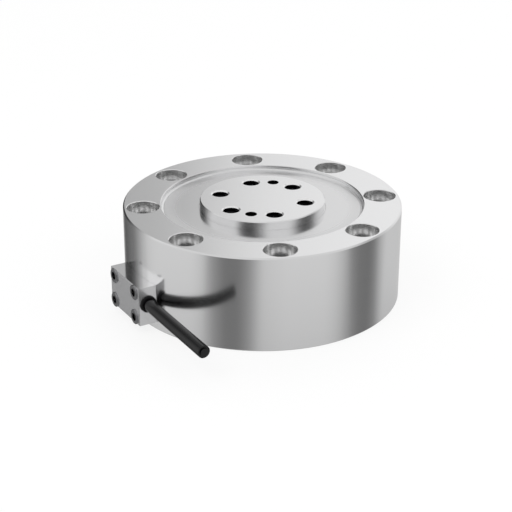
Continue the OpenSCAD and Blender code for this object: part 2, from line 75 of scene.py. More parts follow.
class Signal:
    """A number that travels between nodes, with Python's arithmetic."""

    def __init__(self, graph: "Graph", socket: bpy.types.NodeSocket) -> None:
        """Keeps the socket and the graph that it belongs to."""
        self.graph = graph
        self.socket = socket

    def _with(self, operation: str, *others: Any, swap: bool = False) -> "Signal":
        """Adds a Math node.

        Args:
            operation: the Math node's operation.
            others: the other operands, signals or numbers.
            swap: puts this signal second instead of first.

        Returns:
            The node's result.
        """
        operands = [self, *others]
        if swap:
            operands.reverse()
        return self.graph.math(operation, *operands)

    def __add__(self, other: Any) -> "Signal":
        """This signal plus another."""
        return self._with("ADD", other)

    __radd__ = __add__

    def __sub__(self, other: Any) -> "Signal":
        """This signal less another."""
        return self._with("SUBTRACT", other)

    def __rsub__(self, other: Any) -> "Signal":
        """Another less this signal."""
        return self._with("SUBTRACT", other, swap=True)

    def __mul__(self, other: Any) -> "Signal":
        """This signal times another."""
        return self._with("MULTIPLY", other)

    __rmul__ = __mul__

    def __truediv__(self, other: Any) -> "Signal":
        """This signal over another."""
        return self._with("DIVIDE", other)

    def __rtruediv__(self, other: Any) -> "Signal":
        """Another over this signal."""
        return self._with("DIVIDE", other, swap=True)

    def __pow__(self, other: Any) -> "Signal":
        """This signal to a power."""
        return self._with("POWER", other)

    def __rpow__(self, other: Any) -> "Signal":
        """Another to the power of this signal."""
        return self._with("POWER", other, swap=True)

    def __gt__(self, other: Any) -> "Signal":
        """One where this signal is greater, else zero."""
        return self._with("GREATER_THAN", other)

    def __lt__(self, other: Any) -> "Signal":
        """One where this signal is less, else zero."""
        return self._with("LESS_THAN", other)

    def absolute(self) -> "Signal":
        """This signal without its sign."""
        return self._with("ABSOLUTE")

    def fraction(self) -> "Signal":
        """Fraction part of this signal."""
        return self._with("FRACT")

    def ease(self, low: float, high: float) -> "Signal":
        """Smooth step of this signal.

        Args:
            low: value where the step begins.
            high: value where it ends; less than low turns it round.

        Returns:
            Zero before low, one after high, smooth between.
        """
        node = self.graph.node("ShaderNodeMapRange", {"interpolation_type": "SMOOTHSTEP"},
                               {"Value": self, "From Min": low, "From Max": high})
        return Signal(self.graph, node.outputs["Result"])


class Graph:
    """The nodes of one material or world."""

    def __init__(self, tree: bpy.types.NodeTree) -> None:
        """Empties the tree and keeps it."""
        self.tree = tree
        tree.nodes.clear()

    def node(self, kind: str, settings: dict[str, Any] | None = None,
             inputs: dict[Any, Any] | None = None) -> bpy.types.Node:
        """Makes any node.

        Args:
            kind: the node's type.
            settings: properties that are set first; "stops" fills a ramp.
            inputs: sockets by name or index, with values, signals or links.

        Returns:
            The node.
        """
        made = self.tree.nodes.new(kind)
        for key, value in (settings or {}).items():
            if key == "stops":
                self._fill(made.color_ramp, value)
            else:
                setattr(made, key, value)
        for key, value in (inputs or {}).items():
            target = made.inputs[key]
            if isinstance(value, Signal):
                value = value.socket
            if isinstance(value, bpy.types.NodeSocket):
                self.tree.links.new(value, target)
            elif isinstance(value, (tuple, list)) and target.type == "RGBA" and len(value) == 3:
                target.default_value = (*value, 1.0)
            else:
                target.default_value = value
        return made

    def _fill(self, ramp: bpy.types.ColorRamp, stops: Sequence[Pair]) -> None:
        """Sets a ramp's stops.

        Args:
            ramp: the ramp.
            stops: places with grey levels.
        """
        while len(ramp.elements) > 1:
            ramp.elements.remove(ramp.elements[-1])
        for index, (place, level) in enumerate(stops):
            stop = ramp.elements[0] if index == 0 else ramp.elements.new(place)
            stop.position = place
            stop.color = (level, level, level, 1.0)

    def math(self, operation: str, *operands: Any) -> Signal:
        """Adds a Math node and gives its result."""
        node = self.node("ShaderNodeMath", {"operation": operation}, dict(enumerate(operands)))
        return Signal(self, node.outputs[0])

    def place(self) -> bpy.types.NodeSocket:
        """Object coordinates."""
        return self.node("ShaderNodeTexCoord").outputs["Object"]

    def split(self, vector: bpy.types.NodeSocket) -> tuple[Signal, Signal, Signal]:
        """The three parts of a vector."""
        node = self.node("ShaderNodeSeparateXYZ", None, {0: vector})
        return tuple(Signal(self, out) for out in node.outputs)

    def round_place(self) -> tuple[Signal, Signal, Signal, Signal]:
        """Object coordinates x, y and z, then the distance from the Z axis."""
        x, y, z = self.split(self.place())
        return x, y, z, (x * x + y * y) ** 0.5

    def join(self, x: Any, y: Any, z: Any) -> bpy.types.NodeSocket:
        """A vector of three parts."""
        return self.node("ShaderNodeCombineXYZ", None, {0: x, 1: y, 2: z}).outputs[0]

    def noise(self, vector: bpy.types.NodeSocket, scale: float = 1.0, detail: float = 2.0) -> Signal:
        """Noise from zero to one.

        Args:
            vector: where it is read.
            scale: how many cells a unit holds.
            detail: how many finer layers it has.

        Returns:
            The noise.
        """
        node = self.node("ShaderNodeTexNoise", None, {"Vector": vector, "Scale": scale, "Detail": detail,
                                                      "Roughness": NOISE_ROUGHNESS})
        return Signal(self, node.outputs["Fac"])

    def blend(self, factor: Any, first: Any, second: Any) -> bpy.types.NodeSocket:
        """A mix of two colours."""
        inputs = {MIX_FACTOR: factor, MIX_FIRST: first, MIX_SECOND: second}
        return self.node("ShaderNodeMix", {"data_type": "RGBA"}, inputs).outputs[MIX_RESULT]

    def clouded(self, factor: Signal, colour: Colour, swing: Pair) -> bpy.types.NodeSocket:
        """A colour that a pattern makes darker and lighter.

        Args:
            factor: the pattern, from zero to one.
            colour: the colour.
            swing: what the colour is multiplied by where the pattern is zero and one.

        Returns:
            The varied colour, no part of it over one.
        """
        dark, pale = (tuple(min(part * gain, 1.0) for part in colour) for gain in swing)
        return self.blend(factor, dark, pale)

    def ramp(self, factor: Signal, stops: Sequence[Pair]) -> bpy.types.NodeSocket:
        """A colour ramp of linear stops."""
        return self.node("ShaderNodeValToRGB", {"stops": stops}, {0: factor}).outputs["Color"]

    def bump(self, height: Signal, distance: float) -> bpy.types.NodeSocket:
        """A normal raised by a height.

        Args:
            height: the height, from zero to one.
            distance: metres that a height of one stands for.

        Returns:
            The normal.
        """
        node = self.node("ShaderNodeBump", None, {"Height": height, "Distance": distance, "Strength": 1.0})
        return node.outputs["Normal"]

    def either(self, *rays: bpy.types.NodeSocket) -> Signal:
        """One where a ray is of any of the given kinds, else zero."""
        total = sum(Signal(self, ray) for ray in rays)
        return self.math("MINIMUM", total, 1.0)

    def background(self, colour: Any, strength: float) -> bpy.types.Node:
        """Light from all around."""
        return self.node("ShaderNodeBackground", None, {"Color": colour, "Strength": strength})

    def mix_shaders(self, factor: Any, first: bpy.types.Node, second: bpy.types.Node) -> bpy.types.Node:
        """A mix of two shaders' first outputs."""
        inputs = {0: factor, 1: first.outputs[0], 2: second.outputs[0]}
        return self.node("ShaderNodeMixShader", None, inputs)


# ------------------------------------------------------------------- finishes

@dataclass(frozen=True)
class Finish:
    """What a surface is made of."""

    name: str

    def material(self) -> bpy.types.Material:
        """The finished material.

        Returns:
            The material, with the finish's nodes.
        """
        made = bpy.data.materials.new(self.name)
        made.use_nodes = True
        graph = Graph(made.node_tree)
        shader = graph.node("ShaderNodeBsdfPrincipled", None, self.surface(graph))
        graph.node("ShaderNodeOutputMaterial", None, {"Surface": shader.outputs["BSDF"]})
        return made

    def surface(self, graph: Graph) -> dict[str, Any]:
        """Values and links of the shader's sockets."""
        raise NotImplementedError


@dataclass(frozen=True)
class TurnedSteel(Finish):
    """Steel off the lathe: fine rings around the Z axis."""

    colour: Colour = (0.92, 0.92, 0.925)
    roughness: float = 0.16
    anisotropy: float = 0.0
    ring_pitch: float = 0.0005
    ring_wander: float = 6.0
    ring_bump: float = 0.0000006
    ring_share: float = 0.6
    drift_scale: Point = (30.0, 30.0, 60.0)
    colour_swing: Pair = (0.965, 1.03)
    roughness_dip: float = 0.04
    ring_roughness: float = 0.07
    drift_roughness: float = 0.02

    def ringed(self, radius: Signal, z: Signal) -> Signal | float:
        """One where the lathe left its rings, else zero."""
        return 1.0

    def surface(self, graph: Graph) -> dict[str, Any]:
        """Rings in the roughness, the colour and a slight bump.

        Args:
            graph: the material's nodes.

        Returns:
            Values and links of the shader's sockets.
        """
        x, y, z, radius = graph.round_place()
        across, along, up = self.drift_scale
        rings = graph.noise(graph.join(radius / self.ring_pitch, z / self.ring_pitch, x * self.ring_wander),
                            detail=3)
        drift = graph.noise(graph.join(x * across, y * along, z * up))
        ringed = self.ringed(radius, z)
        return {
            "Base Color": graph.clouded(rings * self.ring_share + drift * (1.0 - self.ring_share),
                                        self.colour, self.colour_swing),
            "Metallic": 1.0,
            "Roughness": (self.roughness - self.roughness_dip
                          + (rings * self.ring_roughness + drift * self.drift_roughness) * ringed),
            "Anisotropic": self.anisotropy,
            "Normal": graph.bump(rings * ringed, self.ring_bump),
        }


@dataclass(frozen=True)
class Patch:
    """A round zone of a turned surface that another tool has changed, or where shade or a highlight is
    painted.
    """

    # Radii and heights between which it lies
    inner: float
    outer: float
    bottom: float
    top: float
    # Its colour, and how much of that covers the steel
    colour: Colour
    cover: float = 1.0
    # What it takes from the metallic value and adds to the roughness
    less_metallic: float = 0.0
    rougher: float = 0.0

    def mask(self, radius: Signal, z: Signal) -> Signal:
        """One between the patch's radii and heights, else zero."""
        return (radius > self.inner) * (radius < self.outer) * (z > self.bottom) * (z < self.top)


@dataclass(frozen=True)
class BodySteel(TurnedSteel):
    """Turned steel of the elastic body, with drilled, bored and ground places, painted shade in its drilled
    holes and on the recess lip, and a painted highlight at the tapped holes' mouths.
    """

    # Half width of the strip along the Y axis that holds both dowel holes
    dowel_strip: float = 0.0045
    # Painted shade: near-black colour painted inside the dowel and tapped holes
    dowel_holes: Patch = Patch(0.0150, 0.0230, 0.031, 0.0427, HOLE_SHADE, cover=0.96)
    tapped_holes: Patch = Patch(0.0150, 0.0230, 0.031, 0.04252, HOLE_SHADE, cover=0.96)
    # Painted highlight: a white, less metallic band painted at the tapped holes' mouths
    tapped_mouth_highlight: Patch = Patch(0.0150, 0.0230, 0.04252, 0.04308, WHITE, less_metallic=0.22)
    # Painted shade: a darker band painted on the recess lip
    recess_lip_shade: Patch = Patch(0.0437, 0.0441, 0.04282, 0.0432, (0.6, 0.6, 0.605))
    recess_foot: Patch = Patch(0.0424, 0.0439, 0.038, 0.0407, (0.95, 0.95, 0.955), rougher=0.25)
    counterbores: Patch = Patch(0.04455, 0.05845, 0.03, 0.04145, WHITE, less_metallic=0.07, rougher=0.05)

    def ringed(self, radius: Signal, z: Signal) -> Signal | float:
        """One where the lathe left its rings, zero in the counterbores."""
        return 1.0 - self.counterbores.mask(radius, z)

    def surface(self, graph: Graph) -> dict[str, Any]:
        """Turned steel with painted shade in the hub's holes and on the recess lip, a painted highlight at
        the tapped holes' mouths, and other places that no lathe has made.

        Args:
            graph: the material's nodes.

        Returns:
            Values and links of the shader's sockets.
        """
        made = super().surface(graph)
        x, _, z, radius = graph.round_place()
        dowels = x.absolute() < self.dowel_strip
        taps = 1.0 - dowels
        for patch, where in (
                (self.dowel_holes, dowels), (self.tapped_holes, taps), (self.tapped_mouth_highlight, taps),
                (self.recess_lip_shade, 1.0), (self.recess_foot, 1.0), (self.counterbores, 1.0)):
            mask = patch.mask(radius, z) * where
            made["Base Color"] = graph.blend(mask * patch.cover, made["Base Color"], patch.colour)
            if patch.less_metallic:
                made["Metallic"] = made["Metallic"] - mask * patch.less_metallic
            if patch.rougher:
                made["Roughness"] = made["Roughness"] + mask * patch.rougher
        return made


@dataclass(frozen=True)
class PlateSteel(TurnedSteel):
    """Turned steel that grows matt towards its rim."""

    matt_from: float = 0.034
    matt_to: float = 0.0415
    matt_roughness: float = 0.16
    matt_colour: Colour = (0.88, 0.88, 0.885)

    def surface(self, graph: Graph) -> dict[str, Any]:
        """Turned steel, paler and rougher outwards.

        Args:
            graph: the material's nodes.

        Returns:
            Values and links of the shader's sockets.
        """
        made = super().surface(graph)
        *_, radius = graph.round_place()
        matt = radius.ease(self.matt_from, self.matt_to)
        made["Base Color"] = graph.blend(matt, made["Base Color"], self.matt_colour)
        made["Roughness"] = made["Roughness"] + matt * self.matt_roughness
        return made


@dataclass(frozen=True)
class MilledSteel(Finish):
    """Steel or brass off the mill: short parallel strokes along one way."""

    colour: Colour = (0.86, 0.86, 0.87)
    roughness: float = 0.24
    metallic: float = 1.0
    turn: float = BOX_TURN
    stroke_scale: Point = (900.0, 60.0, 1400.0)
    stroke_bump: float = 0.000001
    stroke_roughness: float = 0.10
    cloud_scale: float = 180.0
    colour_swing: Pair = (0.93, 1.05)

    def surface(self, graph: Graph) -> dict[str, Any]:
        """Strokes in the roughness, the colour and a slight bump.

        Args:
            graph: the material's nodes.

        Returns:
            Values and links of the shader's sockets.
        """
        mapping = graph.node("ShaderNodeMapping", None,
                             {"Vector": graph.place(), "Rotation": (0, 0, math.radians(-self.turn))})
        x, y, z = graph.split(mapping.outputs[0])
        across, along, up = self.stroke_scale
        strokes = graph.noise(graph.join(x * across, y * along, z * up), detail=3)
        cloud = graph.noise(graph.place(), self.cloud_scale)
        return {
            "Base Color": graph.clouded((strokes + cloud) * 0.5, self.colour, self.colour_swing),
            "Metallic": self.metallic,
            "Roughness": self.roughness + (strokes - 0.5) * self.stroke_roughness,
            "Normal": graph.bump(strokes, self.stroke_bump),
        }


@dataclass(frozen=True)
class BoxSteel(MilledSteel):
    """Milled steel of the cable box, with a painted highlight on its top, which is also smoother and fully
    metallic.
    """

    # Painted highlight: above this height the top is painted paler, and is smoother and fully metallic
    top_highlight_above: float = 0.02075
    top_highlight_colour: Colour = (0.98, 0.98, 0.985)
    top_smoother: float = 0.14

    def surface(self, graph: Graph) -> dict[str, Any]:
        """Milled steel, smoother and fully metallic above one height, with a painted highlight there.

        Args:
            graph: the material's nodes.

        Returns:
            Values and links of the shader's sockets.
        """
        made = super().surface(graph)
        _, _, z = graph.split(graph.place())
        # Painted highlight on the box's top
        top_highlight = z > self.top_highlight_above
        made["Base Color"] = graph.blend(top_highlight, made["Base Color"], self.top_highlight_colour)
        made["Metallic"] = self.metallic + top_highlight * (1.0 - self.metallic)
        made["Roughness"] = made["Roughness"] - top_highlight * self.top_smoother
        return made


@dataclass(frozen=True)
class Moulded(Finish):
    """Plastic, rubber, ceramic or laminate with a fine grain."""

    colour: Colour = (0.05, 0.05, 0.05)
    roughness: float = 0.5
    grain: float = 2500.0
    grain_height: float = 0.00001
    grain_roughness: float = 0.12
    # Grains across a cloud
    cloud_size: float = 12.0
    colour_swing: Pair = (0.88, 1.12)
    shine: float = 0.5

    def surface(self, graph: Graph) -> dict[str, Any]:
        """Grain in the roughness and a bump, with larger clouds in the colour.

        Args:
            graph: the material's nodes.

        Returns:
            Values and links of the shader's sockets.
        """
        grain = graph.noise(graph.place(), self.grain, 3)
        cloud = graph.noise(graph.place(), self.grain / self.cloud_size)
        return {
            "Base Color": graph.clouded(cloud, self.colour, self.colour_swing),
            "Specular IOR Level": self.shine,
            "Roughness": self.roughness + (grain - 0.5) * self.grain_roughness,
            "Normal": graph.bump(grain, self.grain_height),
        }


@dataclass(frozen=True)
class Laminate(Moulded):
    """Green board laminate with copper tracks under its lacquer."""

    ring_pitch: float = 0.0009
    ring_width: float = 0.34
    run_pitch: float = 0.0013
    run_width: float = 0.22
    field_scale: float = 260.0
    rings_over: float = 0.55
    runs_under: float = 0.44
    track_colour: Colour = (0.10, 0.38, 0.19)

    def surface(self, graph: Graph) -> dict[str, Any]:
        """Broken rings and straight runs, paler than the laminate.

        Args:
            graph: the material's nodes.

        Returns:
            Values and links of the shader's sockets.
        """
        made = super().surface(graph)
        x, _, _, radius = graph.round_place()
        fields = graph.noise(graph.place(), self.field_scale, 0)
        rings = ((radius / self.ring_pitch).fraction() < self.ring_width) * (fields > self.rings_over)
        runs = ((x / self.run_pitch).fraction() < self.run_width) * (fields < self.runs_under)
        made["Base Color"] = graph.blend(rings + runs, made["Base Color"], self.track_colour)
        return made


@dataclass(frozen=True)
class GaugeFilm(Moulded):
    """Amber gauge film with the fine lines of its foil grid."""

    line_pitch: float = 0.0005
    line_width: float = 0.55
    foil_colour: Colour = (0.60, 0.48, 0.36)
    foil_metallic: float = 0.8

    def surface(self, graph: Graph) -> dict[str, Any]:
        """Slanting lines of foil.

        Args:
            graph: the material's nodes.

        Returns:
            Values and links of the shader's sockets.
        """
        made = super().surface(graph)
        x, y, z = graph.split(graph.place())
        across = graph.math("MINIMUM", x.absolute(), y.absolute())
        foil = ((across + z) / self.line_pitch).fraction() < self.line_width
        made["Base Color"] = graph.blend(foil, made["Base Color"], self.foil_colour)
        made["Metallic"] = foil * self.foil_metallic
        return made


# ------------------------------------------------------------ shape helpers

def add_piece(name: str, bm: bmesh.types.BMesh, finish: bpy.types.Material,
              replaces: Sequence[str] = ()) -> bpy.types.Object:
    """Makes a piece of a bmesh, lets it ride on the part and reports it.

    Args:
        name: the piece's name.
        bm: its shape, in the part's frame; it is freed.
        finish: its material.
        replaces: the CAD nodes that it stands for.

    Returns:
        The piece.
    """
    mesh = bpy.data.meshes.new(name)
    bm.to_mesh(mesh)
    bm.free()
    piece = bpy.data.objects.new(name, mesh)
    bpy.context.scene.collection.objects.link(piece)
    mesh.materials.append(finish)
    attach(piece, "root")
    if replaces:
        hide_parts(*replaces)
    log.info("%s: %d faces", name, len(mesh.polygons))
    return piece


def sharpen(bm: bmesh.types.BMesh, angle: float) -> None:
    """Shades a bmesh smooth, apart from its sharp edges.

    Args:
        bm: the shape.
        angle: edges sharper than this stay sharp, in degrees.
    """
    limit = math.radians(angle)
    for face in bm.faces:
        face.smooth = True
    for edge in bm.edges:
        edge.smooth = len(edge.link_faces) == 2 and edge.calc_face_angle(0.0) < limit


def merged_copy(node: str) -> bmesh.types.BMesh:
    """A CAD node's loose triangles, joined and shaded smooth.

    Args:
        node: the CAD node.

    Returns:
        The joined shape.
    """
    bm = bmesh.new()
    bm.from_mesh(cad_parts[node].data)
    bmesh.ops.remove_doubles(bm, verts=bm.verts, dist=WELD)
    sharpen(bm, SHARP_ANGLE)
    return bm


def weigh_normals(piece: bpy.types.Object) -> None:
    """Keeps flat faces flat where they run into a fillet.

    Args:
        piece: the piece whose normals are weighed by its faces' areas.
    """
    weigh = piece.modifiers.new("flat_faces", "WEIGHTED_NORMAL")
    weigh.mode = "FACE_AREA"
    weigh.weight = FACE_WEIGHT
    weigh.keep_sharp = True


def dress(node: str, finish: bpy.types.Material) -> None:
    """Gives a CAD node a finish in place of its plain one.

    Args:
        node: the CAD node, whose shape stays as it is.
        finish: its material.
    """
    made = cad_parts[node]
    made.data.materials.clear()
    made.data.materials.append(finish)
    log.info("%s: CAD solid, %s", node, finish.name)


# --------------------------------------------------------------- studio

@dataclass(frozen=True)
class Lamp:
    """A square soft lamp that looks at the part."""

    name: str
    place: Point
    power: float
    size: float = 0.9

    def build(self) -> None:
        """Makes the lamp and hides it from mirrors."""
        data = bpy.data.lights.new(self.name, "AREA")
        data.size = self.size
        data.energy = self.power
        lamp = bpy.data.objects.new(self.name, data)
        lamp.location = self.place
        lamp.rotation_euler = (-Vector(self.place)).to_track_quat("-Z", "Y").to_euler()
        lamp.visible_glossy = False
        bpy.context.scene.collection.objects.link(lamp)


@dataclass
class Studio:
    """Camera, floor, lamps and the bright room that the steel mirrors.

    The room's walls are bearings in degrees with grey levels. Bearing 0 is behind
    the camera. Heights in the room are elevations in radians.
    """

    target: Point = (-0.00259, -0.00068, 0.01553)
    azimuth: float = -75.3
    elevation: float = 24.345
    distance: float = 0.62999
    roll: float = 0.142
    lens: float = 100.9
    film_width: float = 36.0
    near_clip: float = 0.01
    floor_reach: float = 6.0
    floor_shade: Colour = (0.92, 0.92, 0.92)
    floor_glow: float = 0.84
    lamps: Sequence[Lamp] = (
        Lamp("key", (-0.5, -0.7, 1.2), 5.0),
        Lamp("fill", (0.9, -0.3, 0.9), 3.0),
        Lamp("back", (0.1, 0.9, 1.1), 3.0))
    high_wall: Sequence[Pair] = (
        (-180, 0.93), (-178.6, 0.80), (-177.2, 0.66), (-176, 0.54), (-172, 0.50), (-165, 0.08),
        (-138, 0.04), (-128, 0.20), (-118, 0.55), (-108, 0.92), (-50, 0.94), (-44, 0.55), (-38, 0.18),
        (-30, 0.06), (-18, 0.06), (-10, 0.20), (0, 0.50), (8, 0.82), (14, 0.94), (50, 0.94), (60, 0.64),
        (70, 0.25), (78, 0.10), (88, 0.08), (96, 0.12), (104, 0.25), (114, 0.60), (124, 0.82),
        (134, 0.94), (174.5, 1.05), (180, 0.95))
    low_wall: Sequence[Pair] = (
        (-180, 0.75), (-166, 0.50), (-156, 0.10), (-148, 0.15), (-130, 0.22), (-119, 0.46),
        (-109, 0.72), (-96, 0.80), (-60, 0.82), (-50, 0.72), (-42, 0.38), (-31, 0.21), (-19, 0.21),
        (-10, 0.38), (0, 0.76), (20, 0.83), (53, 0.82), (62, 0.74), (69.5, 0.60), (78.5, 0.30),
        (86, 0.21), (97, 0.19), (105, 0.26), (114, 0.58), (121, 0.72), (154, 0.68), (180, 0.80))
    # Heights between which the low wall gives way to the high one, that one to the
    # ceiling, and the low one to the ground
    low_to_high: Pair = (-0.36, 0.0)
    ceiling_rise: Pair = (0.46, 0.80)
    ceiling_shade: Colour = (0.82, 0.82, 0.82)
    ground_fall: Pair = (-0.43, -0.50)
    ground_share: float = 0.37
    ground_shade: Colour = (0.2, 0.2, 0.2)
    mirrored_strength: float = 0.825
    ambient_strength: float = 0.75

    def build(self) -> None:
        """Makes all of it."""
        self.camera()
        self.floor()
        for lamp in self.lamps:
            lamp.build()
        self.room()

    def camera(self) -> None:
        """Aims the camera at the part."""
        turn, lift, roll = (math.radians(a) for a in (self.azimuth, self.elevation, self.roll))
        back = Vector((math.cos(turn) * math.cos(lift), math.sin(turn) * math.cos(lift), math.sin(lift)))
        side = Vector((-math.sin(turn), math.cos(turn), 0.0))
        up = back.cross(side)
        right = side * math.cos(roll) + up * math.sin(roll)
        top = up * math.cos(roll) - side * math.sin(roll)
        data = bpy.data.cameras.new("camera")
        data.lens = self.lens
        data.sensor_width = self.film_width
        data.clip_start = self.near_clip
        camera = bpy.data.objects.new("camera", data)
        matrix = Matrix((right, top, back)).transposed().to_4x4()
        matrix.translation = Vector(self.target) + back * self.distance
        camera.matrix_world = matrix
        bpy.context.scene.collection.objects.link(camera)
        bpy.context.scene.camera = camera

    def floor(self) -> None:
        """Makes the pale floor that keeps a soft shadow."""
        bm = bmesh.new()
        bmesh.ops.create_grid(bm, x_segments=1, y_segments=1, size=self.floor_reach)
        mesh = bpy.data.meshes.new("floor")
        bm.to_mesh(mesh)
        bm.free()
        floor = bpy.data.objects.new("floor", mesh)
        bpy.context.scene.collection.objects.link(floor)
        material = bpy.data.materials.new("floor")
        material.use_nodes = True
        graph = Graph(material.node_tree)
        rays = graph.node("ShaderNodeLightPath").outputs
        seen = graph.either(rays["Is Camera Ray"], rays["Is Glossy Ray"], rays["Is Transmission Ray"])
        paper = graph.node("ShaderNodeBsdfDiffuse", None, {"Color": self.floor_shade})
        glow = graph.node("ShaderNodeEmission", None, {"Color": WHITE, "Strength": 1.0})
        mix = graph.mix_shaders(seen * self.floor_glow, paper, glow)
        graph.node("ShaderNodeOutputMaterial", None, {"Surface": mix.outputs[0]})
        mesh.materials.append(material)
        floor.visible_glossy = False

    def room(self) -> None:
        """Makes the world: white to the camera, soft boxes and dark flags to mirrors."""
        world = bpy.data.worlds.new("studio")
        bpy.context.scene.world = world
        world.use_nodes = True
        graph = Graph(world.node_tree)
        rays = graph.node("ShaderNodeLightPath").outputs
        mirrored = graph.background(self.walls(graph), self.mirrored_strength)
        ambient = graph.background(WHITE, self.ambient_strength)
        white = graph.background(WHITE, 1.0)
        light = graph.mix_shaders(rays["Is Glossy Ray"], ambient, mirrored)
        seen = graph.either(rays["Is Camera Ray"], rays["Is Transmission Ray"])
        whole = graph.mix_shaders(seen, light, white)
        graph.node("ShaderNodeOutputWorld", None, {"Surface": whole.outputs[0]})
        bpy.context.scene.view_settings.view_transform = "Standard"

    def walls(self, graph: Graph) -> bpy.types.NodeSocket:
        """Colour of the room in every way.

        Args:
            graph: the world's nodes.

        Returns:
            The colour that a mirror sees.
        """
        x, y, z = graph.split(graph.node("ShaderNodeTexCoord").outputs["Generated"])
        turn = math.radians(-self.azimuth)
        ahead = x * math.cos(turn) - y * math.sin(turn)
        across = x * math.sin(turn) + y * math.cos(turn)
        bearing = graph.math("ARCTAN2", across, ahead) / math.tau + 0.5
        lift = graph.math("ARCSINE", z)
        low, high = (graph.ramp(bearing, [((degrees + 180.0) / 360.0, level) for degrees, level in wall])
                     for wall in (self.low_wall, self.high_wall))
        colour = graph.blend(lift.ease(*self.low_to_high), low, high)
        colour = graph.blend(lift.ease(*self.ceiling_rise), colour, self.ceiling_shade)
        return graph.blend(lift.ease(*self.ground_fall) * self.ground_share, colour, self.ground_shade)


# --------------------------------------------------------------- cable

@dataclass
class FreeCable:
    """The short free end of the cable, cut square."""

    finish: bpy.types.Material
    core_finish: bpy.types.Material
    centre_x: float = 0.062390
    exit_y: float = 0.0133
    height: float = 0.0132
    length: float = 0.0485
    diameter: float = 0.0053
    stations: int = 21
    segments: int = 48
    # Each layer of wires: how many, how far from the centre line, and their radius
    wire_layers: Sequence[tuple[int, float, float]] = ((1, 0.0, 0.00062), (5, 0.00112, 0.00052))
    wire_length: float = 0.0028
    wire_setback: float = 0.0016
    wire_segments: int = 20
    # Each inset of the cut face: its width and its depth
    cut_insets: Sequence[Pair] = ((0.00012, 0.0), (0.00075, 0.0), (0.00005, -0.0006))
    sharp_angle: float = 40.0

    def at_box(self, x: float, y: float, z: float = 0.0) -> Vector:
        """A point of the box's own frame, in the part's frame."""
        return Matrix.Rotation(math.radians(BOX_TURN), 3, "Z") @ Vector((x, y, z))

    def across(self, point: Vector) -> Matrix:
        """Places a shape that stands on Z so that it lies along the cable at a point."""
        lie = Matrix.Rotation(math.radians(BOX_TURN), 4, "Z") @ Matrix.Rotation(math.radians(90), 4, "X")
        return Matrix.Translation(point) @ lie

    def build(self) -> None:
        """Makes the wires that show at the cut, and the jacket."""
        ends = []
        for count, ring, radius in self.wire_layers:
            bm = bmesh.new()
            for k in range(count):
                angle = math.tau * k / count
                self.add_wire(bm, ring * math.cos(angle), ring * math.sin(angle), radius)
            sharpen(bm, self.sharp_angle)
            ends.append(add_piece(f"cable_wires_{len(ends) + 1}", bm, self.core_finish))
        jacket = self.jacket()

    def add_wire(self, bm: bmesh.types.BMesh, aside: float, up: float, radius: float) -> None:
        """Adds one wire's end, a rod that stops just short of the cut.

        Args:
            bm: the shape that it is added to.
            aside: how far it lies from the centre line, along the box's own X axis.
            up: how far it lies above the centre line.
            radius: its radius.
        """
        far = self.exit_y + self.length - self.wire_setback
        middle = self.at_box(self.centre_x + aside, far, self.height + up)
        bmesh.ops.create_cone(bm, cap_ends=True, segments=self.wire_segments, radius1=radius,
                              radius2=radius, depth=self.wire_length, matrix=self.across(middle))

    def jacket(self) -> bpy.types.Object:
        """Makes the jacket, a tube with a cut end that is hollowed around the wires.

        Returns:
            The piece.
        """
        bm = bmesh.new()
        start = self.at_box(self.centre_x, self.exit_y, self.height)
        bmesh.ops.create_circle(bm, segments=self.segments, radius=self.diameter / 2, cap_ends=True,
                                matrix=self.across(start))
        step = self.at_box(0, 1) * (self.length / (self.stations - 1))
        front = list(bm.faces)
        for _ in range(self.stations - 1):
            grown = bmesh.ops.extrude_face_region(bm, geom=front)["geom"]
            verts = [g for g in grown if isinstance(g, bmesh.types.BMVert)]
            bmesh.ops.delete(bm, geom=front, context="FACES_ONLY")
            bmesh.ops.translate(bm, verts=verts, vec=step)
            front = [g for g in grown if isinstance(g, bmesh.types.BMFace)]
        for width, depth in self.cut_insets:
            bmesh.ops.inset_region(bm, faces=front, thickness=width, depth=depth)
        bmesh.ops.recalc_face_normals(bm, faces=bm.faces)
        sharpen(bm, self.sharp_angle)
        return add_piece("free_cable", bm, self.finish, ["cable"])


# --------------------------------------------------------------- sub-assemblies

